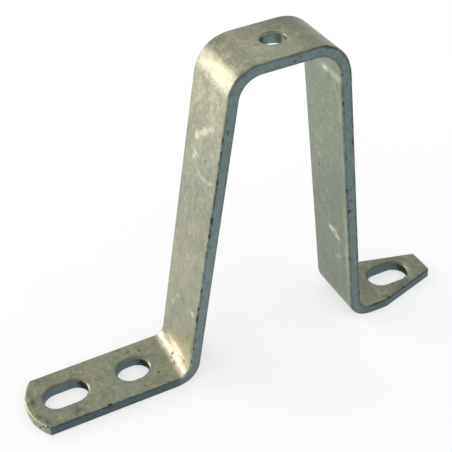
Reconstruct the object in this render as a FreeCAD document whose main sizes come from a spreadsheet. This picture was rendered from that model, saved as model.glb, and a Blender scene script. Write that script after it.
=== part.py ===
import FreeCAD, Part
import math
import os
from types import SimpleNamespace

import Sketcher

# Mounting bracket: one length of flat bar, folded into a tall hat with two outward feet, cut
# to shape at both ends and punched. The left leg leans in and its long foot has two slots.
# The right leg stands nearly upright and its short foot has one slot and a tapered tip.
#
# Frame, in millimetres: X runs along the bracket, Y across the bar, Z up from the floor.
# The origin lies on the floor under the middle of the length. Every sketch is drawn from the
# axis of the top hole, and the body's placement moves that axis to its place in the frame.

NODE = "hat_bracket"

# Driving sizes: name, value and meaning. The corner of a fold is where the centrelines of
# the two straight runs beside it would meet.
SIZES = (
    ("bar_width", 30.0, "width of the flat bar"),
    ("bar_thickness", 5.0, "thickness of the flat bar"),
    ("overall_height", 140.0, "floor to the top face"),
    ("left_reach", 120.5, "hole axis to the crown of the rounded end"),
    ("right_reach", 71.5, "hole axis to the tip of the tapered foot"),
    ("left_top_corner", 22.0, "hole axis to the corner of the top and the left leg"),
    ("right_top_corner", 22.0, "hole axis to the corner of the top and the right leg"),
    ("left_foot_corner", 52.0, "hole axis to the corner of the left leg and its foot"),
    ("right_foot_corner", 27.5, "hole axis to the corner of the right leg and its foot"),
    ("top_fold_radius", 10.0, "inside radius of the two folds at the top"),
    ("foot_fold_radius", 5.0, "inside radius of the two folds at the feet"),
    ("end_crown", 5.5, "depth of the rounded end's arc"),
    ("taper_length", 28.0, "length of the right foot's taper"),
    ("tip_width", 13.0, "width left at the tapered foot's tip"),
    ("slot_width", 12.0, "width of every slot"),
    ("long_slot", 19.0, "end to end length of the outer left slot and the right slot"),
    ("short_slot", 14.0, "end to end length of the inner left slot"),
    ("left_slot_margin", 17.0, "centre of the outer left slot to the crown of the rounded end"),
    ("right_slot_margin", 18.5, "centre of the right slot to the tip of its foot"),
    ("slot_pitch", 30.0, "centre to centre of the left foot's two slots"),
    ("top_hole", 10.0, "diameter of the hole in the top"),
    ("edge_radius", 0.8, "rounding of the bar's long edges and cut ends"),
    ("mouth_break", 0.6, "width of the broken edge round each punched mouth"),
    ("overcut", 3.0, "how far each cut reaches past the metal that it removes"),
)

# Sketcher numbers the places on an edge upwards from 1 and its own axes downwards from -1
START, END, CENTRE = range(1, 4)
X_AXIS, Y_AXIS = range(-1, -3, -1)
ORIGIN = (X_AXIS, START)

# Faces that turn by more than this, in radians, meet in an edge and not in a smooth seam
SHARP_TURN = 0.25
# How near two ends in a sketch lie, in millimetres, when they are meant to be one point
SAME_POINT = 1e-4


def make_sheet(doc):
    """Fills the spreadsheet, one driving size in each row, and gives the sizes back by name."""
    sheet = doc.addObject("Spreadsheet::Sheet", "Sizes")
    for row, (name, value, meaning) in enumerate(SIZES, start=1):
        sheet.set("A{}".format(row), name)
        sheet.set("B{}".format(row), str(value))
        sheet.set("C{}".format(row), meaning)
        sheet.setAlias("B{}".format(row), name)
    doc.recompute()
    return SimpleNamespace(**{name: sheet.get(name) for name, _, _ in SIZES})


def origin_plane(body, role):
    """One of the body's own three planes."""
    for feature in body.Origin.OriginFeatures:
        if feature.Role == role:
            return feature
    raise ValueError("the body has no plane " + role)


def new_sketch(body, name, role):
    """An empty sketch on one of the body's planes."""
    sketch = body.newObject("Sketcher::SketchObject", name)
    sketch.AttachmentSupport = (origin_plane(body, role), [""])
    sketch.MapMode = "FlatFace"
    return sketch


def spot(across, up):
    """A point in a sketch's plane."""
    return FreeCAD.Vector(across, up, 0)


def rule(sketch, kind, *places):
    """Adds a constraint that has no size."""
    sketch.addConstraint(Sketcher.Constraint(kind, *places))


def measure(sketch, kind, places, formula):
    """Adds a dimension that follows a formula on the sheet."""
    value = float(sketch.evalExpression(formula))
    index = sketch.addConstraint(Sketcher.Constraint(kind, *places, value))
    sketch.setExpression("Constraints[{}]".format(index), formula)


def meeting_ends(sketch, one, other):
    """The ends at which two neighbouring edges of a sketch touch."""
    for one_end in (START, END):
        for other_end in (START, END):
            gap = sketch.getPoint(one, one_end).distanceToPoint(sketch.getPoint(other, other_end))
            if gap < SAME_POINT:
                return one_end, other_end
    raise ValueError("edges {} and {} do not meet".format(one, other))


def join(sketch, kind, one, other):
    """Ties two touching edges together, by a Coincident or a Tangent joint."""
    one_end, other_end = meeting_ends(sketch, one, other)
    rule(sketch, kind, one, one_end, other, other_end)


def loop_of_lines(sketch, corners):
    """A closed outline of straight lines. Line k starts at corner k."""
    following = corners[1:] + corners[:1]
    sketch.addGeometry([Part.LineSegment(a, b) for a, b in zip(corners, following)], False)
    for line in range(len(corners)):
        join(sketch, "Coincident", line, (line + 1) % len(corners))


def fold_arc(before, corner, after, radius):
    """Where a fold's arc starts, a place on it, and where it ends."""
    back = (before - corner).normalize()
    ahead = (after - corner).normalize()
    half = back.getAngle(ahead) / 2
    inward = (back + ahead).normalize()
    reach = radius / math.tan(half)
    nearest = radius / math.sin(half) - radius
    return corner + back * reach, corner + inward * nearest, corner + ahead * reach


def draw_bend_line(body, size):
    """The bar's centreline seen from the side: five straight runs and the four folds between."""
    sketch = new_sketch(body, "bend_line", "XZ_Plane")
    middle = size.bar_thickness / 2
    crest = size.overall_height - middle
    start = spot(-size.left_reach - size.overcut, middle)
    finish = spot(size.right_reach, middle)
    folds = (
        ("left_foot_corner", spot(-size.left_foot_corner, middle), "foot_fold_radius"),
        ("left_top_corner", spot(-size.left_top_corner, crest), "top_fold_radius"),
        ("right_top_corner", spot(size.right_top_corner, crest), "top_fold_radius"),
        ("right_foot_corner", spot(size.right_foot_corner, middle), "foot_fold_radius"),
    )
    corners = [start] + [corner for _, corner, _ in folds] + [finish]

    runs = []
    last = start
    for k, (_, corner, radius_name) in enumerate(folds, start=1):
        radius = getattr(size, radius_name) + middle
        first, between, final = fold_arc(corners[k - 1], corner, corners[k + 1], radius)
        runs += [Part.LineSegment(last, first), Part.Arc(first, between, final)]
        last = final
    runs.append(Part.LineSegment(last, finish))
    sketch.addGeometry(runs, False)
    for k in range(len(runs) - 1):
        join(sketch, "Tangent", k, k + 1)

    left_foot, top, right_foot = 0, 4, 8
    for run in (left_foot, top, right_foot):
        rule(sketch, "Horizontal", run)
    foot_level = "Sizes.bar_thickness / 2"
    measure(sketch, "DistanceY", (*ORIGIN, left_foot, START), foot_level)
    measure(sketch, "DistanceY", (*ORIGIN, right_foot, END), foot_level)
    measure(sketch, "DistanceY", (*ORIGIN, top, START),
            "Sizes.overall_height - Sizes.bar_thickness / 2")
    measure(sketch, "DistanceX", (left_foot, START, *ORIGIN), "Sizes.left_reach + Sizes.overcut")
    measure(sketch, "DistanceX", (*ORIGIN, right_foot, END), "Sizes.right_reach")

    for k, (corner_name, corner, radius_name) in enumerate(folds):
        arc = 2 * k + 1
        measure(sketch, "Radius", (arc,),
                "Sizes.{} + Sizes.bar_thickness / 2".format(radius_name))
        mark = sketch.addGeometry(Part.Point(corner), True)
        rule(sketch, "PointOnObject", mark, START, arc - 1)
        rule(sketch, "PointOnObject", mark, START, arc + 1)
        ends = (mark, START, *ORIGIN) if corner_name.startswith("left") else (*ORIGIN, mark, START)
        measure(sketch, "DistanceX", ends, "Sizes." + corner_name)
    return sketch


def draw_bar_section(body, size):
    """The flat bar's section, standing on the floor at the bend line's left end."""
    sketch = new_sketch(body, "bar_section", "YZ_Plane")
    sketch.setExpression("AttachmentOffset.Base.z", "-Sizes.left_reach - Sizes.overcut")
    half = size.bar_width / 2
    loop_of_lines(sketch, [
        spot(-half, 0),
        spot(half, 0),
        spot(half, size.bar_thickness),
        spot(-half, size.bar_thickness),
    ])
    underside, right_side, top_side, left_side = range(4)
    rule(sketch, "Vertical", right_side)
    rule(sketch, "Vertical", left_side)
    rule(sketch, "Horizontal", top_side)
    rule(sketch, "Symmetric", underside, START, underside, END, Y_AXIS)
    rule(sketch, "PointOnObject", underside, START, X_AXIS)
    measure(sketch, "DistanceX", (underside, START, underside, END), "Sizes.bar_width")
    measure(sketch, "DistanceY", (right_side, START, right_side, END), "Sizes.bar_thickness")
    return sketch


def draw_round_end(body, size):
    """What is cut off the left foot: all that lies outside one shallow arc across the bar."""
    sketch = new_sketch(body, "round_end_outline", "XY_Plane")
    half = size.bar_width / 2
    shoulder = -size.left_reach + size.end_crown
    far_side = half + size.overcut
    far_end = -size.left_reach - 2 * size.overcut
    points = [
        spot(shoulder, half),
        spot(shoulder, far_side),
        spot(far_end, far_side),
        spot(far_end, -far_side),
        spot(shoulder, -far_side),
        spot(shoulder, -half),
    ]
    sketch.addGeometry([Part.LineSegment(a, b) for a, b in zip(points, points[1:])], False)
    crown = spot(-size.left_reach, 0)
    arc = sketch.addGeometry(Part.Arc(points[-1], crown, points[0]), False)
    back_stub, back_rail, outer, front_rail, front_stub = range(5)
    for one, other in zip(range(5), range(1, 6)):
        join(sketch, "Coincident", one, other)
    join(sketch, "Coincident", arc, back_stub)

    for line in (back_stub, outer, front_stub):
        rule(sketch, "Vertical", line)
    for line in (back_rail, front_rail):
        rule(sketch, "Horizontal", line)
    rule(sketch, "Symmetric", back_stub, START, front_stub, END, X_AXIS)
    measure(sketch, "DistanceY", (front_stub, END, back_stub, START), "Sizes.bar_width")
    measure(sketch, "DistanceX", (back_stub, START, *ORIGIN), "Sizes.left_reach - Sizes.end_crown")
    measure(sketch, "DistanceY", (back_stub, START, back_stub, END), "Sizes.overcut")
    measure(sketch, "DistanceY", (front_stub, START, front_stub, END), "Sizes.overcut")
    measure(sketch, "DistanceX", (back_rail, END, back_rail, START),
            "Sizes.end_crown + 2 * Sizes.overcut")
    mark = sketch.addGeometry(Part.Point(crown), True)
    rule(sketch, "PointOnObject", mark, START, X_AXIS)
    rule(sketch, "PointOnObject", mark, START, arc)
    measure(sketch, "DistanceX", (mark, START, *ORIGIN), "Sizes.left_reach")
    return sketch


def draw_taper(body, size):
    """What is cut off one side of the right foot so that it narrows to its tip."""
    sketch = new_sketch(body, "taper_outline", "XY_Plane")
    half = size.bar_width / 2
    heel = size.right_reach - size.taper_length
    loop_of_lines(sketch, [
        spot(heel, half),
        spot(size.right_reach, size.tip_width / 2),
        spot(size.right_reach + size.overcut, size.tip_width / 2),
        spot(size.right_reach + size.overcut, half + size.overcut),
        spot(heel, half + size.overcut),
    ])
    slope, tip_line, outer, rail, heel_line = range(5)
    rule(sketch, "Horizontal", tip_line)
    rule(sketch, "Vertical", outer)
    rule(sketch, "Horizontal", rail)
    rule(sketch, "Vertical", heel_line)
    measure(sketch, "DistanceX", (*ORIGIN, slope, START), "Sizes.right_reach - Sizes.taper_length")
    measure(sketch, "DistanceY", (*ORIGIN, slope, START), "Sizes.bar_width / 2")
    measure(sketch, "DistanceX", (*ORIGIN, slope, END), "Sizes.right_reach")
    measure(sketch, "DistanceY", (*ORIGIN, slope, END), "Sizes.tip_width / 2")
    measure(sketch, "DistanceX", (tip_line, START, tip_line, END), "Sizes.overcut")
    measure(sketch, "DistanceY", (heel_line, END, heel_line, START), "Sizes.overcut")
    return sketch


def draw_slot(sketch, centre, length, width, centre_formula, length_name):
    """One slot along the X axis. The centre's formula counts away from the hole's axis."""
    radius = width / 2
    inner = (abs(centre) - length / 2 + radius) * math.copysign(1, centre)
    outer = (abs(centre) + length / 2 - radius) * math.copysign(1, centre)
    near, far = sorted((inner, outer))
    first = sketch.addGeometry([
        Part.LineSegment(spot(near, -radius), spot(far, -radius)),
        Part.Arc(spot(far, -radius), spot(far + radius, 0), spot(far, radius)),
        Part.LineSegment(spot(far, radius), spot(near, radius)),
        Part.Arc(spot(near, radius), spot(near - radius, 0), spot(near, -radius)),
    ], False)[0]
    far_arc, near_arc = first + 1, first + 3
    for k in range(4):
        join(sketch, "Tangent", first + k, first + (k + 1) % 4)
    rule(sketch, "Equal", near_arc, far_arc)
    for arc in (near_arc, far_arc):
        rule(sketch, "PointOnObject", arc, CENTRE, X_AXIS)
    measure(sketch, "Radius", (near_arc,), "Sizes.slot_width / 2")
    reach = "(Sizes.{} - Sizes.slot_width) / 2".format(length_name)
    if centre < 0:
        measure(sketch, "DistanceX", (near_arc, CENTRE, *ORIGIN), centre_formula + " + " + reach)
        measure(sketch, "DistanceX", (far_arc, CENTRE, *ORIGIN), centre_formula + " - " + reach)
    else:
        measure(sketch, "DistanceX", (*ORIGIN, near_arc, CENTRE), centre_formula + " - " + reach)
        measure(sketch, "DistanceX", (*ORIGIN, far_arc, CENTRE), centre_formula + " + " + reach)


def draw_slots(body, size):
    """The three slots: two in the left foot and one in the right, all on the bar's middle."""
    sketch = new_sketch(body, "slots", "XY_Plane")
    outer_left = -size.left_reach + size.left_slot_margin
    draw_slot(sketch, outer_left, size.long_slot, size.slot_width,
              "Sizes.left_reach - Sizes.left_slot_margin", "long_slot")
    draw_slot(sketch, outer_left + size.slot_pitch, size.short_slot, size.slot_width,
              "Sizes.left_reach - Sizes.left_slot_margin - Sizes.slot_pitch", "short_slot")
    draw_slot(sketch, size.right_reach - size.right_slot_margin, size.long_slot, size.slot_width,
              "Sizes.right_reach - Sizes.right_slot_margin", "long_slot")
    return sketch


def draw_top_hole(body, size):
    """The round hole's circle, on the level of the top face."""
    sketch = new_sketch(body, "top_hole_circle", "XY_Plane")
    sketch.setExpression("AttachmentOffset.Base.z", "Sizes.overall_height")
    upward = FreeCAD.Vector(0, 0, 1)
    sketch.addGeometry(Part.Circle(spot(0, 0), upward, size.top_hole / 2), False)
    rule(sketch, "Coincident", 0, CENTRE, *ORIGIN)
    measure(sketch, "Radius", (0,), "Sizes.top_hole / 2")
    return sketch


def sweep_bar(body, size):
    """The bent blank: the bar's section carried along the bend line."""
    path = draw_bend_line(body, size)
    section = draw_bar_section(body, size)
    body.Document.recompute()
    blank = body.newObject("PartDesign::AdditivePipe", "bent_bar")
    blank.Profile = section
    blank.Spine = (path, [""])
    body.Document.recompute()
    return blank


def cut_through_foot(body, name, sketch):
    """A cut through a foot's thickness, from below the floor to above the foot."""
    cut = body.newObject("PartDesign::Pocket", name)
    cut.Profile = sketch
    cut.SideType = "Symmetric"
    cut.setExpression("Length", "2 * (Sizes.bar_thickness + Sizes.overcut)")
    body.Document.recompute()
    return cut


def mirror_across_bar(body, name, cut):
    """The same cut on the other side of the bar's middle."""
    mirrored = body.newObject("PartDesign::Mirrored", name)
    mirrored.Originals = [cut]
    mirrored.MirrorPlane = (origin_plane(body, "XZ_Plane"), [""])
    body.Tip = mirrored
    body.Document.recompute()
    return mirrored


def drill_top(body, sketch):
    """The plain round hole through the top."""
    hole = body.newObject("PartDesign::Hole", "top_hole")
    hole.Profile = sketch
    hole.DepthType = "ThroughAll"
    hole.setExpression("Diameter", "Sizes.top_hole")
    body.Document.recompute()
    return hole


def sharp_edges(shape):
    """The names of the edges where two faces meet at a corner."""
    names = []
    for number, edge in enumerate(shape.Edges, start=1):
        middle = edge.valueAt((edge.FirstParameter + edge.LastParameter) / 2)
        normals = [face.normalAt(*face.Surface.parameter(middle))
                   for face in shape.ancestorsOfType(edge, Part.Face)]
        if len(normals) == 2 and normals[0].getAngle(normals[1]) > SHARP_TURN:
            names.append("Edge{}".format(number))
    return names


def ease_edges(body, name, base, kind, property_name, size_name):
    """Rounds or chamfers every edge that is still sharp."""
    easing = body.newObject("PartDesign::" + kind, name)
    easing.Base = (base, sharp_edges(base.Shape))
    easing.setExpression(property_name, "Sizes." + size_name)
    body.Document.recompute()
    return easing


def must_remove(before, after):
    """A cut, rounding or chamfer that leaves the volume as it was has missed the metal."""
    if not after.Shape.Volume < before.Shape.Volume:
        raise ValueError(after.Label + " removed nothing")


def make_bracket(doc, size):
    """The whole bracket in the order that it is made in: bend, crop, ease the edges, punch."""
    body = doc.addObject("PartDesign::Body", NODE)
    body.Label = NODE
    blank = sweep_bar(body, size)

    round_end = cut_through_foot(body, "round_end", draw_round_end(body, size))
    taper = cut_through_foot(body, "taper", draw_taper(body, size))
    other_taper = mirror_across_bar(body, "other_taper", taper)
    rounded = ease_edges(body, "rounded_edges", other_taper, "Fillet", "Radius", "edge_radius")

    slots = cut_through_foot(body, "slots_cut", draw_slots(body, size))
    top_hole = drill_top(body, draw_top_hole(body, size))
    mouths = ease_edges(body, "broken_mouths", top_hole, "Chamfer", "Size", "mouth_break")

    steps = (blank, round_end, taper, other_taper, rounded, slots, top_hole, mouths)
    for before, after in zip(steps, steps[1:]):
        must_remove(before, after)
    body.setExpression("Placement.Base.x", "(Sizes.left_reach - Sizes.right_reach) / 2")
    doc.recompute()
    return body


def check_document(doc, body):
    """Stops before anything is written if a feature failed or the bracket is not one solid."""
    for thing in doc.Objects:
        if "Invalid" in thing.State or "Error" in thing.State:
            raise ValueError(thing.Label + " failed to build")
    if body.Shape.isNull() or not body.Shape.isValid() or len(body.Shape.Solids) != 1:
        raise ValueError(body.Label + " is not one valid solid")


def main():
    doc = FreeCAD.newDocument("bracket")
    size = make_sheet(doc)
    body = make_bracket(doc, size)
    check_document(doc, body)
    os.makedirs("parts", exist_ok=True)
    body.Shape.exportStep(os.path.join("parts", NODE + ".step"))


main()
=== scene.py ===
"""A hat bracket: one flat steel bar folded four times, punched and galvanised, on a pale floor.

The bar is worked out flat first, as stations s along its centre line, y across it and n through
its thickness, and is then folded along the same line as the solid it stands for. Lengths are in
metres.
"""

import math
from functools import partial
from types import SimpleNamespace

import bpy
import numpy as np
from bpy.props import FloatProperty, FloatVectorProperty, PointerProperty
from mathutils import Matrix, Vector


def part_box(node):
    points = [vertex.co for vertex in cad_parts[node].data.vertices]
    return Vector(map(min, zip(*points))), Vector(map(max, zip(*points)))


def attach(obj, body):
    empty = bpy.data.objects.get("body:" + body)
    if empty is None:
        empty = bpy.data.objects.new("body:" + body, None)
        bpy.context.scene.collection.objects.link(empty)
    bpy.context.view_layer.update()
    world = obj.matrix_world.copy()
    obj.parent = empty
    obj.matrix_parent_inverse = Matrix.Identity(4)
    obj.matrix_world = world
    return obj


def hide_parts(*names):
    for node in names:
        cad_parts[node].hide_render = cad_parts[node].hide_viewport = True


bl_info = {
    "name": "Hat bracket",
    "version": (1, 0, 0),
    "blender": (4, 5, 0),
    "location": "3D View > Sidebar > Bracket",
    "description": "Builds a folded and galvanised flat-bar bracket and the pale stage it stands on",
    "category": "Add Mesh",
}

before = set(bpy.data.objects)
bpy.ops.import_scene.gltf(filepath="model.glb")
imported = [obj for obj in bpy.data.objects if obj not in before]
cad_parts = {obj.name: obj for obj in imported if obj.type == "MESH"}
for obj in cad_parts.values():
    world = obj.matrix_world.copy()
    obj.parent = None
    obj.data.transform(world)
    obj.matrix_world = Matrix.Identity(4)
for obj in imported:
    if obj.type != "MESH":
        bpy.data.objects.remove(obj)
NODE = "hat_bracket"
BAR_LOW, BAR_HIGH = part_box(NODE)
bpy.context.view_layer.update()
MM = 0.001
UPPER, LOWER, FRONT = 1, -1, 0
# The bend line's entries: even ones are runs and odd ones the folds between them
RUNS_AND_ARCS = 9
LEFT_LEG, TOP, RIGHT_FOOT = 2, 4, 8
FOLDS, TOP_FOLDS = (1, 3, 5, 7), (3, 5)
NODES_A_ROW, NODE_STEP = 9, (230, 330)
SURFACE_NUMBERS = (
    "sheared", "shaded_long_edge", "painted_wall_shade", "inner_side", "edge_gap", "scuffs_and_painted_highlight",
    "stains_and_slot_shade", "tone_and_painted_light", "cooled", "painted_fold_highlight", "stretched",
)

# Distances between the mesh's lines in the folds and on the small arcs at the bar's ends
FOLD_STEP, END_STEP, SHOULDER_STEP = 0.7 * MM, 0.25 * MM, 0.2 * MM
# Where the blocks of metal round the openings end: past the middle between the left slots, before
# the first fold, on both sides of the hole's axis, and past the last fold
PAST_MIDDLE, BEFORE_FOLD, PAST_FOLD = 1.5 * MM, 1.2 * MM, 0.6 * MM
HOLE_LEFT, HOLE_RIGHT = 10 * MM, 9.2 * MM
# Stations this near a limit count as on it, and points are welded on a grid of this size
NEAR, WELD_STEP = 1e-9, 1e-7
# Lines across the ring of faces round an opening, round its drawn-in rim, and round a long edge
RING_LINES, MOUTH_LINES, EDGE_LINES = 17, 9, 6
# A mouth: how deep its rim is drawn in for its width, and the offsets and levels of its wall, first
# sheared and then broken, the start of its lower rim, and how far that rim reaches out and down
MOUTH_DROP = 0.75
PUNCHED_WALL = np.array([[0, 0.9], [0, 0], [0, -0.7], [0.08, -1.2], [0.16, -1.7]]) * MM
LOWER_RIM, LOWER_REACH = (0.2 * MM, -2.1 * MM), (0.3 * MM, 0.4 * MM)

# Wavelengths of the flats' waves, the sheared edges' hollows, the arrises' dark line and the pits
FLAT_WAVES = np.array([46, 27, 16, 9]) * MM
RAGGED_WAVES = np.array([11, 5.5, 3.1, 1.9]) * MM
ARRIS_WAVES = np.array([13, 6, 2.6]) * MM
PIT_WAVES = np.array([3.4, 1.7]) * MM
FLAT_SEED, RAGGED_SEED, ARRIS_SEED, PIT_SEED = 4, 9, 21, 33
# How quickly a dish fades beside an opening, how far below a face the arris's dark line lies, and
# how far it reaches from there
DISH_REACH, ARRIS_DEPTH, ARRIS_REACH = 1.4 * MM, 0.4 * MM, 0.9 * MM
# A fold's pinch: its share at the fold's ends, the share of the fold's length in which it grows, and
# the share of the half width from which it starts
PINCH_AT_ENDS, PINCH_GROWTH, PINCH_FROM = 0.35, 0.3, 0.45
# A foot's own tones fade in over this much of its fold and of the foot itself, and the crazing over
# this much of a fold at the top
IN_FOLD, ON_FOOT, CRAZING_EASE = 4 * MM, 2 * MM, 2 * MM
# The bar's own rim ends this far past its edge's rounding. Past the middle of the left end's arc the
# gap to that end grows this steeply, so that it never counts there.
RIM_SLACK, NO_EDGE_SLOPE = 0.01 * MM, 9
# Keeps a division by the cut possible on the faces, where the cut is zero
LEAST_CUT = 1e-6
# The hole's right end takes a painted highlight as its wall turns to the left, from the first of these to
# the second.
# A slot's right end takes painted shade by the slope x that turn, less the first share on the left foot and
# the second on the right one.
HOLE_HIGHLIGHT_TURN = (0.83, 0.93)
SLOT_SHADE_SLOPE, SLOT_SHADE_FROM = 1.7, (0.5, 0.9)
# A long edge is where the surface faces sideways by the first pair and is cut by the second
SIDEWAYS, EDGE_CUT = (0.7, 0.9), (0.05, 0.3)
# The arris's dark line: its strength before the ripples, and its shares on the left foot and low down
ARRIS_STRENGTH, ARRIS_ON_FOOT, ARRIS_BELOW = 1.1, 0.4, 0.55
# How steep a mouth's wall is where its painted shade begins, and how much sooner that is facing the front
MOUTH_FROM, MOUTH_FRONT = 0.8, 0.3
# What these places add to the coat's tones: the left end, the hole's wall, and the hole's right end as a
# painted highlight; and what others take from them as painted shade: the slots' ends and the feet's long
# edges. A slot's end takes its full share once its wall turns this far to the left.
ADDS = SimpleNamespace(left_end=0.4, hole_wall=0.55, painted_hole_highlight=1.3)
TAKES = SimpleNamespace(slot_end_shade=0.5, left_foot_edge=0.8, right_foot_edge=0.35)
SLOT_END_TURN = 1 / 1.4
# The tone's range, of the marks alone and in all
MARKED_TONES, ALL_TONES = (-1.4, 2), (-1.6, 2)
# How much of the walls' painted shade the hole's painted highlight and its wall lack, and the feet's edges
# have
HOLE_HIGHLIGHT_LACKS, HOLE_WALL_LACKS, FOOT_EDGE_HAS = 0.95, 0.25, 0.85
# How strongly the slots' ends take painted shade through the stain colour, and the arrises their dark
# specks
SLOT_SHADE_WEIGHT, ARRIS_STAIN = 1.5, 0.33
# How quickly the inner side's painted shade comes in through the thickness
INNER_SLOPE = 1.4
# Marks fade in between these heights above the bar's middle, and depths behind its front edge
MARKED_FACE = (1.2 * MM, 2.0 * MM)
MARKED_EDGE = (-0.6 * MM, -0.2 * MM)


def to_linear(code):
    """A #rrggbb colour as linear numbers: each channel, from 0 to 1, through the sRGB curve."""
    channels = [int(code[i : i + 2], 16) / 255 for i in (1, 3, 5)]
    return tuple(c / 12.92 if c <= 0.04045 else ((c + 0.055) / 1.055) ** 2.4 for c in channels)


def length(name, description, default):
    """A length that a user may change, shown in the scene's own unit."""
    return FloatProperty(
        name=name,
        description=description,
        default=default,
        min=0.0,
        precision=5,
        unit="LENGTH",
        subtype="DISTANCE",
    )


def place(name, description, default):
    """A position along X, which may be on either side of the middle."""
    return FloatProperty(
        name=name, description=description, default=default, precision=5, unit="LENGTH", subtype="DISTANCE"
    )


def angle(name, description, degrees):
    """An angle that a user may change, given in degrees and kept in radians."""
    return FloatProperty(name=name, description=description, default=math.radians(degrees), subtype="ANGLE")


def share(name, description, default):
    """A number from 0 to 1."""
    return FloatProperty(
        name=name, description=description, default=default, min=0.0, max=1.0, subtype="FACTOR"
    )


def colour(name, description, code):
    """A colour that a user may change, given as #rrggbb and kept as linear numbers."""
    return FloatVectorProperty(
        name=name,
        description=description,
        default=to_linear(code),
        size=3,
        min=0.0,
        max=1.0,
        subtype="COLOR",
    )


class BarSizes(bpy.types.PropertyGroup):
    """Sizes of the folded bar, from the solid's own box where they reach across the whole bracket."""

    width: length("Bar width", "Width of the flat bar", BAR_HIGH.y - BAR_LOW.y)
    thickness: length("Bar thickness", "Thickness of the flat bar", 5 * MM)
    height: length("Height", "From the floor to the top of the hat", BAR_HIGH.z - BAR_LOW.z)
    reach: length("Length", "From the end of one foot to the end of the other", BAR_HIGH.x - BAR_LOW.x)
    left_foot_corner: place(
        "Left foot corner", "Where the left foot's and leg's centre lines meet", -27.5 * MM
    )
    left_top_corner: place(
        "Left top corner", "Where the left leg's and the top's centre lines meet", 2.5 * MM
    )
    right_top_corner: place(
        "Right top corner", "Where the top's and right leg's centre lines meet", 46.5 * MM
    )
    right_foot_corner: place(
        "Right foot corner", "Where the right leg's and foot's centre lines meet", 52 * MM
    )
    foot_radius: length("Foot fold radius", "Inside radius of the folds at the feet", 5 * MM)
    top_radius: length("Top fold radius", "Inside radius of the folds at the top", 10 * MM)
    end_crown: length("End crown", "How far the left end's shallow curve stands past its corners", 5.5 * MM)
    taper: length("Taper length", "Length of the right foot's cut corners along the bar", 28 * MM)
    tip: length("Tip width", "Width of the right foot's blunt tip", 13 * MM)
    slot_width: length("Slot width", "Width of the three slots", 12 * MM)
    long_slot: length("Long slot", "Length of the outer slots, over their round ends", 19 * MM)
    short_slot: length("Short slot", "Length of the left foot's inner slot", 14 * MM)
    left_margin: length("Left slot margin", "From the rounded end to the middle of the outer slot", 17 * MM)
    right_margin: length(
        "Right slot margin", "From the tapered foot's tip to the middle of its slot", 18.5 * MM
    )
    slot_pitch: length("Slot pitch", "Between the middles of the left foot's slots", 30 * MM)
    hole: length("Top hole", "Diameter of the hole in the top", 10 * MM)
    hole_place: place("Hole place", "Where the hole's axis stands", 24.5 * MM)
    edge_radius: length("Edge radius", "Rounding of the bar's long and cut edges", 0.8 * MM)
    corner_radius: length("Corner radius", "Rounding of the ends' corners, seen from above", 1.1 * MM)
    mouth_roll: length("Mouth roll", "How wide the punch drew the rim of each opening in", 1.5 * MM)
    mouth_lean: share(
        "Mouth lean", "How much wider than that the rim is at the back, and narrower in front", 0.3
    )
    hole_roll: share("Hole roll", "How far the round hole's rim is drawn in, as a share of the slots'", 0.4)
    spacing: length("Spacing", "Distance between the mesh's lines on the flats", 0.75 * MM)


class WearAmounts(bpy.types.PropertyGroup):
    """How far the real bar is from a perfect one."""

    waviness: length("Waviness", "Deepest hollow that rolling and dipping left in the flats", 0.09 * MM)
    fold_pinch: length("Fold pinch", "How much narrower the bar is on the outside of a fold", 0.35 * MM)
    rim_dish: length("Rim dish", "How deep the metal beside an opening is drawn in", 0.12 * MM)
    ragged: length("Ragged edge", "Depth of the small hollows along the sheared edges", 0.10 * MM)


class ZincFinish(bpy.types.PropertyGroup):
    """Colours and gloss of the zinc coat, and the colours that paint shade and highlights onto it."""

    pale: colour("Pale zinc", "Where the coat is brightest", "#a0a088")
    dull: colour("Dull zinc", "Where the coat has gone dull", "#8b8e79")
    cool: colour("Cool zinc", "The greenish cast of some patches", "#839080")
    # Painted shade: the inner side's colour, cooler and darker, on the lower side of the bar, under the hat
    inner: colour("Inner side", "The cooler coat on the side away from the weather", "#869480")
    # Painted shade: the long edges' colour, darker and bluer, as if they faced away from the light
    edge: colour("Long edge", "The darker, bluer coat on the bar's long edges", "#6a7a79")
    # Painted shade: the dark colour of the openings' walls and the feet's long edges
    wall: colour("Punched wall", "The dark coat in the openings and on the feet's edges", "#65797e")
    # The stain colour also paints shade at the slots' right ends
    stain_and_shade: colour("Stain", "Specks and pits along the edges and on the feet", "#2c3229")
    # Painted highlight: the colour of the bright band in the first fold
    painted_highlight_colour: colour("Fresh zinc", "Where the tool that made a tight fold burnished the coat", "#dfd3c6")
    # Also the colour of a painted highlight inside the right top fold
    scuff_and_highlight_colour: colour("Scuff", "Fresh scrapes that show bright metal", "#dfdbc2")
    metallic: share("Metallic", "How far the coat reflects as bare metal", 0.85)
    roughness: share("Roughness", "Roughness of the dull coat", 0.35)


class StageSettings(bpy.types.PropertyGroup):
    """The camera, the floor and the lamps."""

    aim: FloatVectorProperty(
        name="Aim",
        description="Point on the bracket's middle plane that the camera turns about",
        default=(24 * MM, 0.0, 60 * MM),
        size=3,
        unit="LENGTH",
        subtype="TRANSLATION",
    )
    azimuth: angle("Azimuth", "How far the camera stands round to the left", -22.18)
    elevation: angle("Elevation", "How far the camera stands above the horizon", 37.09)
    roll: angle("Roll", "How far the camera is turned about its own view", -5.0)
    distance: length("Distance", "From the camera to the aim point", 427.81 * MM)
    sideways: place("Sideways", "How far the camera is moved to its right", -22.36 * MM)
    upwards: place("Upwards", "How far the camera is moved up its own view", -5.52 * MM)
    lens: FloatProperty(
        name="Lens",
        description="Focal length on a 36 mm wide sensor",
        default=82.22,
        min=1.0,
        unit="CAMERA",
    )
    floor: colour("Floor", "Colour of the plain floor", "#b2b3b6")
    room: colour("Room", "Colour of the soft light all round", "#f4f3ef")


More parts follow.
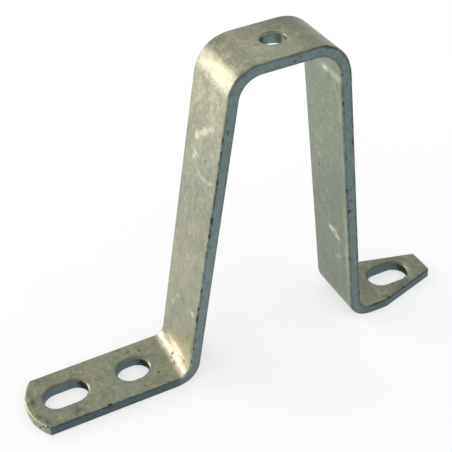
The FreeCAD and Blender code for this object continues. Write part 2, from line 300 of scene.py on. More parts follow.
def add_node(tree, kind, inputs=None, **settings):
    """Adds one shader node and applies its settings.

    Each input is set to a value, or linked to a socket or to another node's first output.
    """
    node = tree.nodes.new("ShaderNode" + kind)
    count = len(tree.nodes)
    wide, tall = NODE_STEP
    node.location = (count % NODES_A_ROW * wide, -(count // NODES_A_ROW) * tall)
    for key, value in settings.items():
        setattr(node, key, value)
    for key, value in (inputs or {}).items():
        if isinstance(value, bpy.types.Node):
            value = value.outputs[0]
        if isinstance(value, bpy.types.NodeSocket):
            tree.links.new(value, node.inputs[key])
        else:
            node.inputs[key].default_value = value
    return node


def fold_line(z):
    """The bar's centre line: straight runs joined by arcs tangent to both.

    Each corner's arc has length radius x turn and trims radius x tan(turn / 2) off both runs.
    Even entries are runs and odd entries arcs, each with its start point, heading and curvature.
    """
    half = z.thickness / 2
    folds = [z.left_foot_corner, z.left_top_corner, z.right_top_corner, z.right_foot_corner]
    xs = [-z.reach / 2, *folds, z.reach / 2]
    top = z.height - half
    corners = np.array(list(zip(xs, [half, half, top, top, half, half])))
    radii = np.array([z.foot_radius, z.top_radius, z.top_radius, z.foot_radius]) + half
    steps = np.diff(corners, axis=0)
    runs = np.hypot(steps[:, 0], steps[:, 1])
    unit = steps / runs[:, None]
    heading = np.arctan2(steps[:, 1], steps[:, 0])
    turn = np.diff(heading)
    trim = radii * np.tan(np.abs(turn) / 2)
    lengths, curvature = np.empty(RUNS_AND_ARCS), np.zeros(RUNS_AND_ARCS)
    lengths[0::2] = runs - np.append(trim, 0) - np.insert(trim, 0, 0)
    lengths[1::2] = radii * np.abs(turn)
    curvature[1::2] = np.sign(turn) / radii
    angles, points = np.empty(RUNS_AND_ARCS), np.empty((RUNS_AND_ARCS, 2))
    angles[0::2], angles[1::2] = heading, heading[:-1]
    points[0] = corners[0]
    points[1::2] = corners[1:-1] - unit[:-1] * trim[:, None]
    points[2::2] = corners[1:-1] + unit[1:] * trim[:, None]
    starts = np.concatenate([[0], np.cumsum(lengths)])
    return SimpleNamespace(starts=starts, angles=angles, points=points, curvature=curvature)


def ramp(values, start, end):
    """From 0 where the values reach the start to 1 where they reach the end, and level beyond."""
    return np.clip((values - start) / (end - start), 0, 1)


def entry_at(line, s):
    """The run or arc that each station lies on."""
    return np.clip(np.searchsorted(line.starts, s, side="right") - 1, 0, RUNS_AND_ARCS - 1)


def heading_at(line, s):
    """The centre line's heading at stations s: the entry's first plus curvature x distance."""
    entry = entry_at(line, s)
    return line.angles[entry] + line.curvature[entry] * (s - line.starts[entry])


def fold(line, flat):
    """Flat points (s, y, n) carried onto the centre line.

    A chord of an arc is its length x sin(half turn) / (half turn), at the heading halfway along. The
    point then stands n along the normal, which is the heading turned a quarter left, and y across.
    """
    s, y, n = flat.T
    entry = entry_at(line, s)
    along = s - line.starts[entry]
    half_turn = line.curvature[entry] * along / 2
    chord = along * np.sinc(half_turn / np.pi)
    heading = line.angles[entry]
    x = line.points[entry, 0] + chord * np.cos(heading + half_turn)
    z = line.points[entry, 1] + chord * np.sin(heading + half_turn)
    final = heading + 2 * half_turn
    return np.column_stack([x - n * np.sin(final), y, z + n * np.cos(final)])


def fold_normals(line, s, flat_normals):
    """Flat directions turned with the bar: s follows the heading, n the normal, y stays."""
    heading = heading_at(line, s)
    across, up = np.cos(heading), np.sin(heading)
    along, side, out = flat_normals.T
    return np.column_stack([along * across - out * up, side, along * up + out * across])


def arc_points(centre, radius, first, last, spacing):
    """Points on an arc and their outward directions, for headings from first to last."""
    count = max(3, int(math.ceil(abs(last - first) * radius / spacing)) + 1)
    turn = np.linspace(first, last, count)
    away = np.column_stack([np.cos(turn), np.sin(turn)])
    return np.asarray(centre) + radius * away, away


def end_radius(z):
    """The radius of the left end's shallow arc."""
    return ((z.width / 2) ** 2 + z.end_crown**2) / (2 * z.end_crown)


def left_end(z):
    """The left end's outline: a shallow arc, with a small arc into each long side."""
    wide, small = z.width / 2, z.corner_radius
    radius = end_radius(z)
    middle = (radius, 0.0)
    drop = math.sqrt((radius - small) ** 2 - (wide - small) ** 2)
    lean = math.atan2(wide - small, drop)
    corner = radius - drop
    parts = [
        arc_points((corner, small - wide), small, -math.pi / 2, lean - math.pi, END_STEP),
        arc_points(middle, radius, lean - math.pi, -lean - math.pi, z.spacing),
        arc_points((corner, wide - small), small, -lean - math.pi, -1.5 * math.pi, END_STEP),
    ]
    return corner, join_outline(parts)


def right_end(z, total):
    """The right end's outline: two cut corners and a blunt tip, each corner a small arc."""
    wide, tip, small = z.width / 2, z.tip / 2, z.corner_radius
    shoulder = total - z.taper
    slope = math.atan2(wide - tip, z.taper)
    first = shoulder - small * math.tan(slope / 2)
    away = np.array([math.sin(slope), math.cos(slope)])
    nose_trim = small * math.tan((math.pi / 2 - slope) / 2)
    nose = np.array([total - small, tip - nose_trim])
    edge_start = np.array([first, wide - small]) + small * away
    edge_end = nose + small * away
    steps = max(2, int(np.hypot(*(edge_end - edge_start)) / z.spacing))
    taper = edge_start + np.linspace(0, 1, steps + 1)[:, None] * (edge_end - edge_start)
    upper = [
        arc_points((first, wide - small), small, math.pi / 2, math.pi / 2 - slope, SHOULDER_STEP),
        (taper, np.tile(away, (len(taper), 1))),
        arc_points(nose, small, math.pi / 2 - slope, 0.0, END_STEP),
    ]
    flat_steps = max(2, int(2 * nose[1] / z.spacing))
    tip_y = np.linspace(nose[1], -nose[1], flat_steps + 1)
    tip_points = np.column_stack([np.full_like(tip_y, total), tip_y])
    flat_tip = (tip_points, np.tile([1.0, 0.0], (len(tip_y), 1)))
    lower = [(points[::-1] * [1, -1], away[::-1] * [1, -1]) for points, away in upper[::-1]]
    return first, join_outline([*upper, flat_tip, *lower])


def join_outline(parts):
    """Outline parts in a row, without the point that each shares with the last."""
    points = np.concatenate([parts[0][0], *[p[1:] for p, _ in parts[1:]]])
    away = np.concatenate([parts[0][1], *[a[1:] for _, a in parts[1:]]])
    return points, away


def side_stations(breaks, line, spacing):
    """Stations along a long side, through every break, closer together round the folds."""
    rows = []
    for low, high in zip(breaks[:-1], breaks[1:]):
        step = FOLD_STEP if line.curvature[entry_at(line, (low + high) / 2)] else spacing
        rows.append(np.linspace(low, high, max(1, round((high - low) / step)) + 1)[:-1])
    return np.append(np.concatenate(rows), breaks[-1])


def profile_directions(offset, level, sign):
    """Directions square to a profile of offsets and levels: its own direction turned a quarter."""
    along, down = np.gradient(offset), np.gradient(level)
    size = np.hypot(along, down)
    away, out = sign * down / size, -sign * along / size
    away[0] = away[-1] = 0.0
    out[0], out[-1] = 1.0, -1.0
    return away, out


def mouth_profile(z):
    """A punched opening from the upper to the lower rim.

    The offset is measured into the metal. The punch draws the upper rim in on a quarter ellipse,
    shears the upper part of the wall straight, and breaks the rest out wider, down to a small lower
    rim.
    """
    half, roll, drop = z.thickness / 2, z.mouth_roll, MOUTH_DROP * z.mouth_roll
    turn = np.linspace(0, np.pi / 2, MOUTH_LINES)
    upper = np.column_stack([roll * (1 - np.sin(turn)), half - drop * (1 - np.cos(turn))])
    low = LOWER_RIM[0] + LOWER_REACH[0] * (1 - np.cos(turn[::2]))
    lower = np.column_stack([low, LOWER_RIM[1] - LOWER_REACH[1] * np.sin(turn[::2])])
    lower[-1, 1] = -half
    return np.concatenate([upper, PUNCHED_WALL, lower])


def rim_profile(z):
    """The bar's own edge, from the upper face round a quarter circle, down, and round another."""
    half, radius = z.thickness / 2, z.edge_radius
    turn = np.linspace(0, np.pi / 2, EDGE_LINES)
    upper = np.column_stack([radius * np.sin(turn), half - radius * (1 - np.cos(turn))])
    wall = np.linspace(half - radius, radius - half, EDGE_LINES)[1:-1]
    side = np.column_stack([np.full_like(wall, radius), wall])
    return np.concatenate([upper, side, upper[::-1] * [1, -1]])


def strip(points, away, profile, sign, swell=1.0):
    """A profile carried along an outline: each point moves along its own outward direction.

    The profile's offsets are multiplied by the swell at each point of the outline, and its directions
    are turned to match.
    """
    offset, level = profile.T
    side, out = profile_directions(offset, level, sign)
    swell = np.broadcast_to(swell, len(points))[:, None]
    flat = np.empty((len(points), len(profile), 3))
    flat[..., :2] = points[:, None] + (swell * offset)[..., None] * away[:, None]
    flat[..., 2] = level
    normals = np.empty_like(flat)
    normals[..., :2] = side[None, :, None] * away[:, None]
    normals[..., 2] = swell * out
    normals /= np.linalg.norm(normals, axis=-1)[..., None]
    return flat, normals, np.hypot(normals[..., 0], normals[..., 1])


def level_sheet(grid, level, side):
    """A flat grid of (s, y) points at one level, whose normals all point up or all down."""
    flat = np.empty((*grid.shape[:2], 3))
    flat[..., :2] = grid
    flat[..., 2] = level
    normals = np.zeros_like(flat)
    normals[..., 2] = side
    return flat, normals, np.zeros(grid.shape[:2])


def along_slot(opening, s):
    """Where an opening's middle line is nearest to each station, and how far past that it lies."""
    along = s - opening.centre
    core = np.clip(along, -opening.straight / 2, opening.straight / 2)
    return core, along - core


def rim_distance(opening, s, y):
    """How far each point is outwards from an opening's punched wall."""
    return np.hypot(along_slot(opening, s)[1], y) - opening.radius


def rays(opening, points):
    """Each outline point's nearest point on the opening's middle line, and the way between them."""
    core, past = along_slot(opening, points[:, 0])
    reach = np.column_stack([past, points[:, 1]])
    away = reach / np.hypot(reach[:, 0], reach[:, 1])[:, None]
    return np.column_stack([opening.centre + core, np.zeros(len(core))]), away


def closed(points):
    """A loop whose first point is repeated at its end."""
    return np.concatenate([points, points[:1]])


def opening_block(opening, outline, z, profile):
    """The metal round one opening: both faces as rings between its rim and the block, and its wall.

    A ring blends straight from the rim to the outline. The rim's offset is multiplied by the
    opening's own swell + the lean x how far the point lies towards the back.
    """
    outline = closed(outline)
    middle, away = rays(opening, outline)
    swell = opening.swell + z.mouth_lean * away[:, 1]
    wall = strip(middle + opening.radius * away, away, profile, 1, swell)
    mix = np.linspace(0, 1, RING_LINES)[None, :, None]
    sheets = [wall]
    for side, offset in ((UPPER, profile[0, 0]), (LOWER, profile[-1, 0])):
        rim = middle + opening.radius * away + (swell * offset)[:, None] * away
        ring = (1 - mix) * rim[:, None] + mix * outline[:, None]
        sheets.append(level_sheet(ring, side * z.thickness / 2, side))
    return sheets


def flat_bar(z, line):
    """Every surface of the flat bar, as grids that share their boundary points."""
    total, half = line.starts[-1], z.thickness / 2
    inset = z.width / 2 - z.edge_radius
    hole_s = line.starts[TOP] + z.hole_place - line.points[TOP, 0]
    slots = [
        (z.left_margin, z.long_slot),
        (z.left_margin + z.slot_pitch, z.short_slot),
        (hole_s, z.hole),
        (total - z.right_margin, z.long_slot),
    ]
    widths = [z.slot_width, z.slot_width, z.hole, z.slot_width]
    swells = [1.0, 1.0, z.hole_roll, 1.0]
    openings = [
        SimpleNamespace(centre=s, radius=width / 2, straight=size - width, swell=swell)
        for (s, size), width, swell in zip(slots, widths, swells)
    ]
    start, (left_points, left_away) = left_end(z)
    finish, (right_points, right_away) = right_end(z, total)
    first = z.left_margin + z.slot_pitch / 2 + PAST_MIDDLE
    last_foot = line.starts[RIGHT_FOOT] + PAST_FOLD
    limits = [
        (start, first),
        (first, line.starts[FOLDS[0]] - BEFORE_FOLD),
        (hole_s - HOLE_LEFT, hole_s + HOLE_RIGHT),
        (last_foot, finish),
    ]
    breaks = sorted({*line.starts[1:-1], *[edge for pair in limits for edge in pair]})
    stations = side_stations(breaks, line, z.spacing)
    across = np.linspace(-inset, inset, 2 * round(inset / z.spacing) + 1)
    left_points = left_points - z.edge_radius * left_away
    right_points = right_points - z.edge_radius * right_away

    def between(low, high):
        """The stations from low to high."""
        return stations[(stations >= low - NEAR) & (stations <= high + NEAR)]

    def run(low, high, y):
        """Points on a long side between two stations."""
        s = between(low, high)
        return np.column_stack([s, np.full_like(s, y)])

    def cross(s, y):
        """Points on a line across the bar."""
        return np.column_stack([np.full_like(y, s), y])

    profile = mouth_profile(z)
    sheets = []
    for opening, (low, high) in zip(openings, limits):
        west = left_points if opening is openings[0] else cross(low, across)
        east = right_points if opening is openings[-1] else cross(high, across[::-1])
        back, front = run(low, high, inset), run(low, high, -inset)[::-1]
        loop = [west[:-1], back[:-1], east[:-1], front[:-1]]
        sheets += opening_block(opening, np.concatenate(loop), z, profile)
    for low, high in ((limits[1][1], limits[2][0]), (limits[2][1], limits[3][0])):
        grid = np.stack(np.meshgrid(between(low, high), across, indexing="ij"), axis=-1)
        sheets += [level_sheet(grid, half, UPPER), level_sheet(grid, -half, LOWER)]
    north, south = run(start, finish, inset), run(start, finish, -inset)[::-1]
    edge = np.concatenate([left_points[:-1], north[:-1], right_points[:-1], south[:-1]])
    sides = [
        left_away[:-1],
        np.tile([0.0, 1.0], (len(north) - 1, 1)),
        right_away[:-1],
        np.tile([0.0, -1.0], (len(south) - 1, 1)),
    ]
    sheets.append(strip(closed(edge), closed(np.concatenate(sides)), rim_profile(z), -1))
    return sheets, openings


def weld(sheets):
    """Grids to one closed mesh: points that coincide become one, and each face turns outwards."""
    points, normals, cut, quads, base = [], [], [], [], 0
    for flat, outward, sheared in sheets:
        rows, columns = flat.shape[:2]
        index = base + np.arange(rows * columns).reshape(rows, columns)
        quad = np.stack([index[:-1, :-1], index[1:, :-1], index[1:, 1:], index[:-1, 1:]], axis=-1)
        diagonal = flat[1:, 1:] - flat[:-1, :-1]
        other = flat[:-1, 1:] - flat[1:, :-1]
        facing = np.sum(np.cross(diagonal, other) * outward[:-1, :-1])
        quad = quad.reshape(-1, 4)
        quads.append(quad if facing > 0 else quad[:, ::-1])
        points.append(flat.reshape(-1, 3))
        normals.append(outward.reshape(-1, 3))
        cut.append(sheared.ravel())
        base += rows * columns
    points, normals, cut = np.concatenate(points), np.concatenate(normals), np.concatenate(cut)
    key = np.round(points / WELD_STEP).astype(np.int64)
    _, keep, merged = np.unique(key, axis=0, return_index=True, return_inverse=True)
    faces = merged.ravel()[np.concatenate(quads)]
    return points[keep], normals[keep], cut[keep], faces


def ripples(places, lengths, seed):
    """Smooth waves from -1 to 1: a sum of sines whose directions and phases come from a fixed seed."""
    chance = np.random.default_rng(seed)
    total = np.zeros(len(places))
    for wavelength in np.repeat(lengths, 3):
        heading = chance.normal(size=3)
        heading /= np.linalg.norm(heading)
        total += np.sin(places @ heading * (2 * np.pi / wavelength) + chance.uniform(0, 2 * np.pi))
    return total / (3 * len(lengths))


def real_bar(z, wear, line, openings, flat, normals, cut):
    """The flat bar as rolled, punched, folded and dipped, never outside the perfect one.

    Faces sink by half of one plus ripples, times the waviness. Round an opening they sink further,
    by the dish x exp(-distance / its reach). In a fold the width shrinks on the outside, where the
    metal stretched, by the pinch x how far the point is towards that side x how near the edge it is.
    """
    s, y, n = flat.T
    sink = wear.waviness * (0.5 + 0.5 * ripples(flat, FLAT_WAVES, FLAT_SEED)) * (1 - cut)
    for opening in openings:
        gap = rim_distance(opening, s, y) - z.mouth_roll * opening.swell
        sink += wear.rim_dish * np.exp(-np.clip(gap, 0, None) / DISH_REACH) * (normals[:, 2] > 0.5)
    sink += wear.ragged * cut * (0.5 + 0.5 * ripples(flat, RAGGED_WAVES, RAGGED_SEED)) ** 2
    moved = flat - normals * sink[:, None]
    for entry in FOLDS:
        low, high = line.starts[entry], line.starts[entry + 1]
        grown = np.minimum(s - low, high - s) / (PINCH_GROWTH * (high - low))
        ease = np.clip(grown + PINCH_AT_ENDS, 0, 1)
        ease = ease * ease * (3 - 2 * ease)
        outside = 0.5 - 0.5 * np.sign(line.curvature[entry]) * n / (z.thickness / 2)
        near = ramp(np.abs(y) / (z.width / 2), PINCH_FROM, 1) ** 2
        moved[:, 1] -= np.sign(y) * wear.fold_pinch * ease * outside * near
    return moved


def mesh_normals(points, faces):
    """A normal at each point: the sum of its faces' area vectors, brought to length 1."""
    corners = points[faces]
    area = np.cross(corners[:, 2] - corners[:, 0], corners[:, 3] - corners[:, 1])
    corner = faces.ravel()
    sums = [np.bincount(corner, np.repeat(area[:, k], 4), minlength=len(points)) for k in range(3)]
    total = np.column_stack(sums)
    return total / np.linalg.norm(total, axis=1)[:, None]


def marks(flat, spots, least=0, most=1):
    """Soft oval marks: the sum of strength x exp(-(distance / size) squared) over the marks.

    For each side of the bar, each mark has its station, its place across, its length and its width in
    millimetres, its lean in radians and its strength. On the front edge, across runs through the bar.
    """
    s, y, n = flat.T
    total = np.zeros(len(flat))
    for side, rows in spots.items():
        if side == FRONT:
            other, shown = n, ramp(BAR_LOW.y - y, *MARKED_EDGE)
        else:
            other, shown = y, ramp(side * n, *MARKED_FACE)
        for station, across, long, wide, lean, strength in rows:
            ds, dy = s - station * MM, other - across * MM
            turned = ds * math.cos(lean) + dy * math.sin(lean)
            crossed = dy * math.cos(lean) - ds * math.sin(lean)
            oval = (turned / (long * MM)) ** 2 + (crossed / (wide * MM)) ** 2
            total += strength * np.exp(-oval) * shown
    return np.clip(total, least, most)


SCUFFS_AND_PAINTED_HIGHLIGHT = {
    UPPER: (
        (176.2, -1.2, 9, 1.4, -0.97, 0.7), (171.6, 5.2, 1.9, 1.6, 0, 1),
        (174, 1.9, 1.2, 1.3, 0, 0.5), (176.3, -0.8, 2, 1.7, 0, 0.6),
        (180, -6.6, 1.6, 1.8, 0, 0.4), (162.4, 5.9, 1.9, 1.1, -0.5, 0.95),
        (165, 4.6, 1.9, 0.9, 1.1, 0.7), (163.9, 2.4, 1.3, 1, 1.3, 0.55),
        (158.5, 0.6, 3.6, 1, 1.1, 0.5), (157.2, -4.4, 3.2, 1.1, -1.5, 0.5),
        (159.2, -11.2, 3.8, 0.9, -1.05, 0.7), (140.9, 6.3, 1.6, 0.8, -0.4, 0.5),
        (97.4, -10.8, 1.4, 1.5, 0.3, 1), (96.3, 4.1, 2.2, 0.9, -0.9, 0.75),
        (90.6, 8.2, 1.5, 1.3, -0.4, 0.7), (93.3, 6.4, 1.2, 0.9, -0.8, 0.5),
        (130.5, 0.6, 3, 1.3, 0.1, 0.6), (131.2, -4, 1.2, 0.9, -0.8, 0.55),
        (118.8, -1, 2, 1.1, 1.1, 0.6), (126.8, 5.8, 1.6, 1.2, 0.9, 0.5),
        (109, -4.8, 1.4, 0.8, -0.9, 0.55), (104.6, -12, 1.4, 1, 0, 0.45),
        (122.5, 12.6, 1.6, 0.8, -1, 0.5), (3.4, -11.6, 3.4, 0.9, -1.1, 0.6),
    ),
    LOWER: (
        # The first two on this side are a painted highlight inside the right top fold; the rest are scrapes
        (255.3, -2.7, 2, 1.3, 1.3, 1), (254.6, -10.5, 3.4, 1.1, 1.57, 0.45),
        (315.3, 0.7, 1.4, 1.2, 0.95, 0.6), (334.9, 0.4, 1.3, 1, 0, 0.7),
        (335, -1.4, 1.8, 1.2, -1.2, 1), (336.5, -6.1, 2, 1.1, -1.31, 1),
        (333.9, -4.2, 1.9, 0.8, -1.2, 0.8), (346.8, -6.6, 2.6, 1, 0.9, 0.55),
        (300.4, 6.6, 1.2, 0.9, 0, 0.6),
    ),
}
STAINS = {
    UPPER: (
        (56, -7.1, 1, 1.3, 0, 1), (48.4, -12, 1.4, 0.8, -0.4, 1),
        (48.7, 9.9, 1.7, 0.8, 1.2, 1), (53.1, 9.7, 1.6, 0.8, -1.2, 0.9),
        (11.5, -7.4, 1.2, 0.9, -0.3, 0.8), (24.6, 3.2, 1.6, 1.6, -0.9, 0.5),
        (31, -14.8, 0.9, 0.6, 0, 0.9), (5.4, -13.4, 1.6, 1, -0.8, 0.6),
        (165.3, -4.9, 1.6, 0.8, -0.97, 0.7), (139.4, 6.7, 1, 0.7, -0.4, 1),
        (147.6, 7.1, 1.1, 0.9, -0.8, 0.8), (190.6, -8.4, 4.4, 0.7, -1.15, 0.55),
        (81.3, -3.2, 1.1, 0.8, -0.3, 0.6), (98.4, -15, 2.6, 0.5, 0, 0.7),
        (102.8, -15, 1.1, 0.6, 0, 0.9), (112.4, -15, 1.2, 0.6, 0, 0.8),
        (390.6, -14.6, 1.2, 0.8, 0, 1.2), (384.8, -11, 1.3, 1, 0, 0.8),
        (66.8, -0.7, 1.2, 1, 0.5, 1.15), (64.9, -5.6, 1.2, 1, 0.2, 1.1),
        (64.4, -2.2, 1, 2.2, 0, 0.75), (71.3, -9.6, 1.8, 1.2, -0.4, 0.8),
    ),
    LOWER: (
        (305.8, 7.2, 1.4, 0.8, 0.4, 1.1),
    ),
    FRONT: (
        (135.9, 1.6, 2.6, 1, 0, 0.48), (133, 2.2, 7, 0.6, 0, 0.45),
        (145.2, 2.2, 1.5, 0.6, 0, 0.68), (153, 1.7, 1.1, 0.8, 0, 0.61),
        (161.5, 1.7, 1.1, 0.7, 0, 0.75), (182.7, 0.6, 1.3, 0.9, 0, 0.61),
        (257, -0.1, 0.8, 0.7, 0, 0.48), (265.1, -2.1, 1, 0.7, 0, 0.61),
        (267.5, 0.9, 0.9, 0.7, 0, 0.68), (273.7, 0.9, 1.1, 0.8, 0, 0.48),
        (285.3, 1.6, 0.9, 0.7, 0, 0.68), (306.8, -1.8, 1.5, 0.8, 0, 0.82),
        (312, -0.8, 1.3, 0.9, 0.4, 0.75), (317.6, -1.3, 0.9, 0.8, 0, 0.82),
        (342.3, -2.1, 1, 0.7, 0, 0.82),
    ),
}
TONES_AND_PAINTED_LIGHT = {
    UPPER: (
        # The left foot is darker than the rest, and mottled
        (12, 0, 22, 40, 0, -0.62), (54, 0, 15, 40, 0, -0.38),
        (17.8, -11.8, 2.6, 0.9, 1.25, -0.6), (19.8, -11.8, 2.8, 0.9, -1.06, -0.6),
        (22.6, -9.6, 1.4, 0.9, 0.6, -0.5), (30.6, -3.5, 9, 0.8, 1.57, -0.35),
        (27.4, 7.6, 2.4, 1, -0.9, -0.4), (3.2, 7.6, 2.2, 1.1, 1.2, -0.6),
        (3.2, 2.2, 2.2, 1.2, 1.57, -0.8), (4.4, -3.2, 1.4, 1, 0.6, -0.5),
        (3.2, -7, 1.8, 0.9, 1.9, -0.7), (5.6, -11.4, 2.4, 1.1, 1.9, -0.8),
        (9, 12.4, 2.4, 1.2, 0.3, -0.45), (58.4, -7.4, 3.6, 0.8, 1, -0.3),
        (45.8, -12.4, 1.8, 1, 0.9, -0.3), (60.6, 8, 1.6, 3.4, 0, -0.3),
        # The first fold: two bands of painted highlight, with pits between them
        (66.4, 6, 2.4, 12, 0, 0.3), (64.1, 0, 1.3, 40, 0, 1.35),
        (67.6, 1.5, 1.2, 8, 0, -0.45), (67.2, -9, 1, 4, 0, -0.3),
        (74.6, -3, 1.7, 11, 0, 0.6), (70.4, 11, 1.3, 3, 0, 0.35),
        (71.7, -3.5, 2.2, 10, 0, 0.8), (68.6, 8, 0.8, 3.4, 0.1, -1),
        (66.8, -0.7, 1.5, 1.1, 0.5, -1), (64.7, -5.6, 1.5, 1.1, 0.2, -1),
        (71.3, -9.6, 2, 1.3, -0.4, -1),
        # The left leg: painted highlight in its lower corner and at its upper end, beside the folds, and
        # painted light over the rest, a little uneven, with a few scrapes and mottles
        (76.8, -12.4, 4.2, 4.2, 0, 1.4), (82, -9, 9, 7, 0, 0.6),
        (92, 0, 26, 40, 0, 0.22), (101, -2.4, 2.6, 3, 0, -0.35),
        (122, -5, 22, 30, 0, 0.15), (145, 0, 40, 40, 0, 0.2),
        (165.3, -4.9, 1.5, 0.8, -0.97, -1), (163.6, 5, 2.8, 1.5, 0.8, 1.1),
        (160, 2.6, 3.4, 1.2, 0.86, 0.5), (157.6, -2.4, 3.6, 1.3, -1.45, 0.35),
        (158.6, -9, 4.4, 1.3, -1.33, 0.35), (186, 0, 22, 40, 0, 0.52),
        # The second fold: painted highlight beside it, and darker mottles that break its highlight up; the
        # top, darker towards the back and the right
        (199.6, 11.6, 3.4, 4.2, 0, -0.5), (198.3, 2.6, 1, 1.3, 0, -0.5),
        (196.8, 7.6, 1.2, 1.6, 0.4, -0.5), (202.9, 3.6, 1.2, 2.4, 0, -0.4),
        (203.2, -12.2, 1.4, 2, 0, -0.5), (192, 0, 4.5, 40, 0, 0.3),
        (224, 12, 26, 8, 0, -0.5), (238, 0, 10, 40, 0, -0.75),
        (228.6, -0.8, 4.2, 0.9, 1.5, 0.6),
        # The right foot: painted shade over the whole foot, a painted highlight hugging its slot's right
        # end, and mottles
        (400, 0, 30, 40, 0, -0.76), (390.3, -13.4, 1.8, 1.3, 0, -0.5),
        (399, -10.6, 6, 1.4, 0.39, -0.5), (385, -4, 2.6, 4.2, 0.2, -0.3),
        (410, 6, 2.4, 1.2, -0.8, -0.4), (408.4, -1, 3.6, 1, 1.57, 0.9),
        (406.4, -7.4, 2.6, 0.9, 1, 0.5),
    ),
    LOWER: (
        # The right leg's inner side: a painted highlight in the fold at its top, pale strokes, a painted
        # highlight along the front edge, and darker low down
        (255.1, -8, 7.6, 1.9, 1.6, 1.3), (255.2, -2.4, 2.2, 1.4, 1.57, 1.6),
        (255.4, -12.6, 2.4, 1.5, 1.3, 0.8), (256.8, -5.4, 1.6, 1.1, 0.6, -0.8),
        (252.6, -9.4, 1.8, 1, 1.4, -0.4), (291.4, 8.1, 2.8, 0.9, -1.31, 0.7),
        (307.8, 4.3, 2.6, 0.9, -1.1, 0.35), (300.4, 6.4, 1.1, 1, 0, 0.9),
        (322, -1.8, 1.8, 0.9, -1.2, -0.5), (262, -10.5, 4.5, 1.2, -0.5, 0.25),
        (298, 0, 50, 40, 0, -0.1), (318, 0, 16, 14, 0, -0.22),
        (345, 4, 36, 30, 0, -0.38), (265, 6, 14, 9, 0, -0.12),
        (362, 5, 12, 14, 0, -0.32), (334.7, 0.4, 1.6, 1.1, 0.4, 1.4),
        (336.6, -3.4, 4, 0.7, -1.31, 1.9), (337.6, -5.2, 2.4, 0.7, -1.31, 1.2),
        (334.6, -3.2, 2.6, 0.6, -1.15, 1.3), (335.5, -3, 1.9, 0.5, -1.31, -1.3),
        (338, -10, 22, 2.4, 0, -0.25), (333.4, -4.2, 1.8, 1, 0.8, 0.7),
        (320.1, -12.2, 3, 0.9, 0.1, 0.6), (329.2, 0.3, 1.9, 0.9, 0.3, 0.6),
        (322.8, 5.4, 1.6, 1, 0.6, 0.6), (339.4, -12, 2, 1, 0.3, 0.7),
        (347.6, -5.4, 2, 0.9, 0.9, 0.7), (290.8, 7, 3.4, 1, -1.1, 0.35),
        (270, -13.4, 5, 1, 0, 0.8), (293, -13.4, 3, 1, 0, 0.6),
        (322, -13.4, 8, 0.9, 0, 0.7), (346, -13.4, 17, 1, 0, 1.2),
    ),
    FRONT: (
        # The left leg's front edge: lighter, easing the painted edge shade there
        (115, 0, 50, 20, 0, 0.4),
    ),
}
COOL = {
    UPPER: (
        (151, -0.3, 6, 2.8, 0.1, 0.8), (163.5, -8.6, 4.6, 4, 0, 0.8),
        (166, 0, 3.4, 4, 0, 0.5), (147, -10.6, 6, 3.6, 0, 0.8),
        (133, 9, 8, 4, -0.5, 0.7), (95, 4, 8, 5, 0, 0.5),
        (212, -9, 8, 4, 0, 0.4), (400, 0, 24, 40, 0, 0.45),
        (88, -4, 16, 14, 0, -0.6), (118, -2, 14, 12, 0, -0.4),
        (213, 2, 7, 6, 0, -0.5),
    ),
    LOWER: (
        (304, -4, 9, 7, 0, 0.9), (315, -10, 6, 5, 0, 0.7),
        (338, 9, 16, 5, 0, 0.6), (290, 0, 34, 12, 0, 0.3),
    ),
}
# Painted highlight in the first fold: its second band, and a faint share over the first
PAINTED_FOLD_HIGHLIGHTS = {
    UPPER: (
        (71.6, -1.5, 2.2, 9.5, 0, 1), (65.6, 0, 1.8, 60, 0, 0.35),
    ),
}


